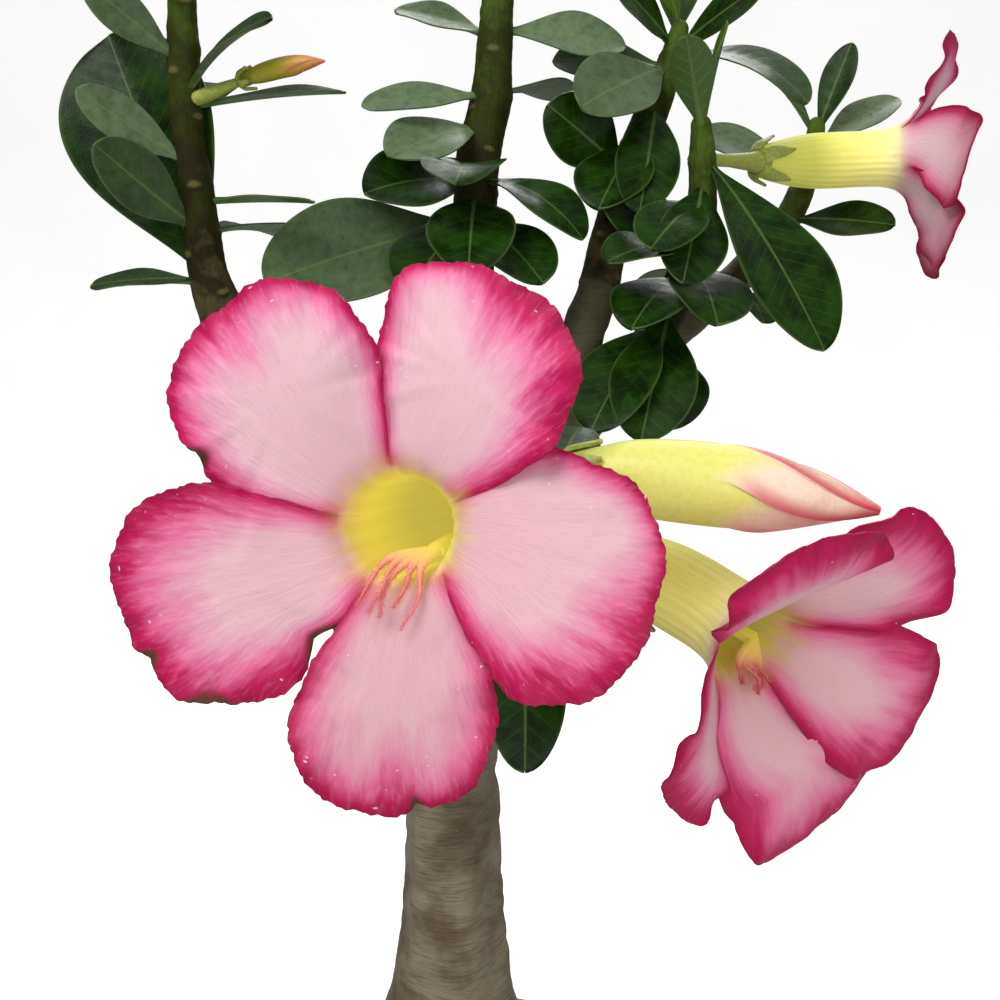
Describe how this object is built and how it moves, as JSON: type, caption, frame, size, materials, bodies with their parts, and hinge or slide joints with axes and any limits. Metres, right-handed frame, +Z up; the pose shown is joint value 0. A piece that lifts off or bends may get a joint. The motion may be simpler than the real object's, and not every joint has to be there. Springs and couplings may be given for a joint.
{
  "type": "potted desert rose",
  "caption": "Potted adenium with a swollen caudex, leafy branches and wide trumpet flowers with ruffled pink petals.",
  "frame": {"origin": "centre of the pot's underside", "axes": "+Z up; the main flower faces -Y"},
  "size_m": [0.2469, 0.2391, 0.4918],
  "materials": {
    "terracotta": "matte",
    "soil": "matte",
    "bark": "matte",
    "foliage": "satin",
    "petal": "satin",
    "stamen": "matte",
    "bud": "satin"
  },
  "bodies": {
    "root": {"pot": "terracotta", "soil": "soil", "caudex": "bark", "left_stem": "foliage", "middle_stem": "foliage", "right_stem": "foliage", "right_front_stem": "foliage", "right_back_stem": "foliage", "front_stem": "foliage", "back_stem": "foliage", "left_back_stem": "foliage", "main_corolla": "petal", "main_stamens": "stamen", "side_corolla": "petal", "side_stamens": "stamen", "back_corolla": "petal", "back_stamens": "stamen", "front_bud": "bud", "left_bud": "bud"}
  },
  "joints": []
}
